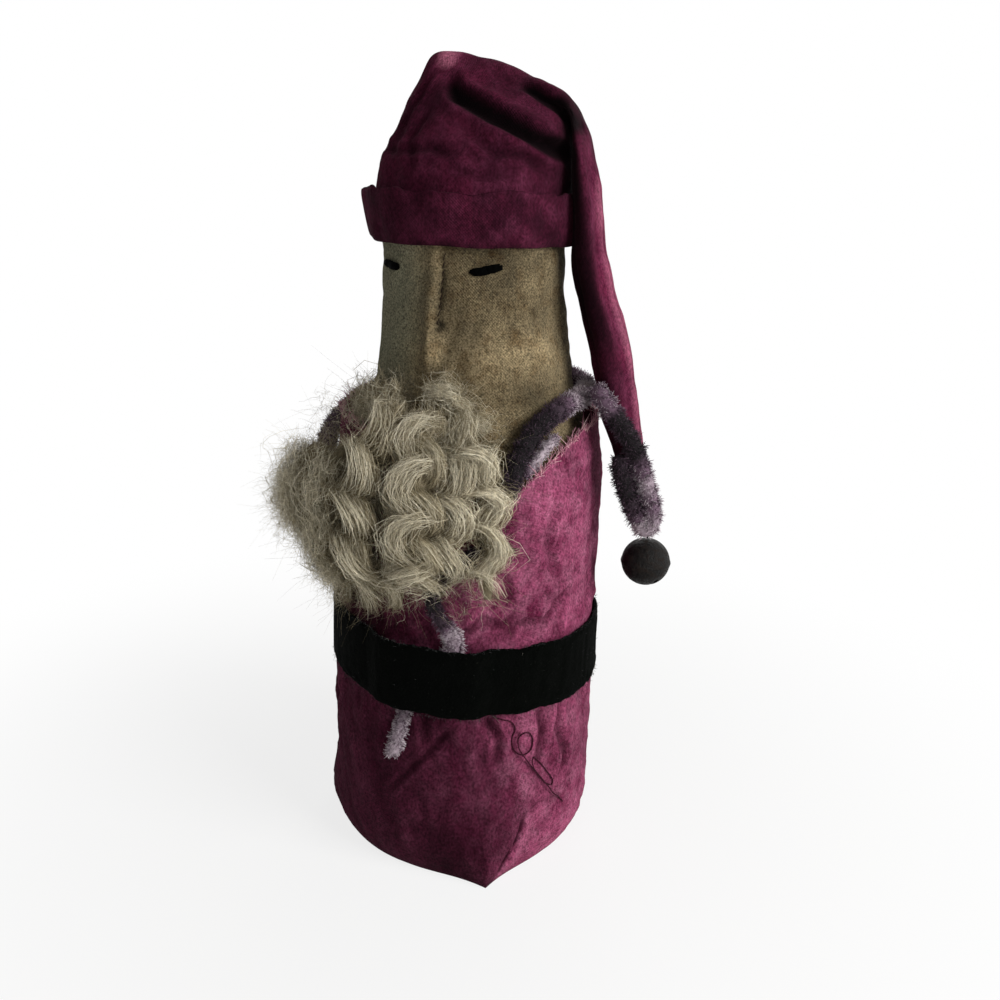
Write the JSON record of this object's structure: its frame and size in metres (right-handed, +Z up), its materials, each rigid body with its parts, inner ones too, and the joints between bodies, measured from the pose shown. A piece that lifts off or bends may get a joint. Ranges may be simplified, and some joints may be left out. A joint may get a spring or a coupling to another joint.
{
  "type": "santa doll",
  "caption": "Standing cloth Father Christmas doll with a curly beard, felt belt and stocking hat whose hanging tail ends in a swinging jingle bell.",
  "frame": {"origin": "middle of the flat underside of the coat, on the surface that the doll stands on", "axes": "+Z up the doll, -Y the way it faces, +X towards the doll's own left, where the hat's tail hangs"},
  "size_m": [0.1444, 0.1265, 0.2949],
  "materials": {
    "coat_cotton": "hand-dyed plain-weave cotton, mottled rose and plum, raw at the neck",
    "hat_cotton": "hand-dyed plain-weave cotton, deep plum with rose highlights",
    "linen": "tea-stained coarse linen",
    "card": "plain grey-brown stiffening board",
    "sand_bag": "closely woven cotton bag filled with sand",
    "fibre_fill": "loose white fibre filling",
    "floss": "black embroidery floss in close satin stitches",
    "nose_thread": "dark brown sewing thread",
    "chenille": "cut-pile chenille strand that changes from near-black plum to mauve grey and pinkish white",
    "felt": "black wool felt with a little pale lint",
    "bell_metal": "blackened, rusted tin",
    "pellet_steel": "dull steel",
    "dark_thread": "dark burgundy sewing thread",
    "wool_locks": "curly cream mohair locks with stray hairs"
  },
  "bodies": {
    "doll": {"coat": "coat_cotton", "linen_body": "linen", "linen_base": "linen", "base_card": "card", "weight_bag": "sand_bag", "stuffing": "fibre_fill", "eye_left": "floss", "eye_right": "floss", "nose_stitch": "nose_thread", "collar_trim": "chenille", "front_trim": "chenille", "belt": "felt", "hat_crown": "hat_cotton", "hat_cuff": "hat_cotton", "beard_lock_01": "wool_locks", "beard_lock_02": "wool_locks", "beard_lock_03": "wool_locks", "beard_lock_04": "wool_locks", "beard_lock_05": "wool_locks", "beard_lock_06": "wool_locks", "beard_lock_07": "wool_locks", "beard_lock_08": "wool_locks", "beard_lock_09": "wool_locks", "beard_lock_10": "wool_locks", "beard_lock_11": "wool_locks", "beard_lock_12": "wool_locks", "beard_lock_13": "wool_locks", "beard_lock_14": "wool_locks", "loose_thread": "dark_thread"},
    "tail": {"hat_tail": "hat_cotton", "tail_trim": "chenille", "bell_tie": "dark_thread"},
    "bell": {"bell_shell": "bell_metal", "bell_loop": "bell_metal"},
    "pellet": {"bell_pellet": "pellet_steel"}
  },
  "joints": [
    {"name": "tail_lift", "type": "hinge", "parent": "doll", "child": "tail", "pos_m": [0.0356, 0.00628, 0.277], "axis": [0.1736, -0.9848, 0], "range_deg": [0, 70]},
    {"name": "bell_swing", "type": "hinge", "parent": "tail", "child": "bell", "pos_m": [0.06844, 0.01207, 0.13155], "axis": [0.9848, 0.1736, 0], "range_deg": [-22, 22]},
    {"name": "pellet_rattle", "type": "slide", "parent": "bell", "child": "pellet", "axis": [0, 0, 1], "range_m": [0, 0.01]}
  ]
}
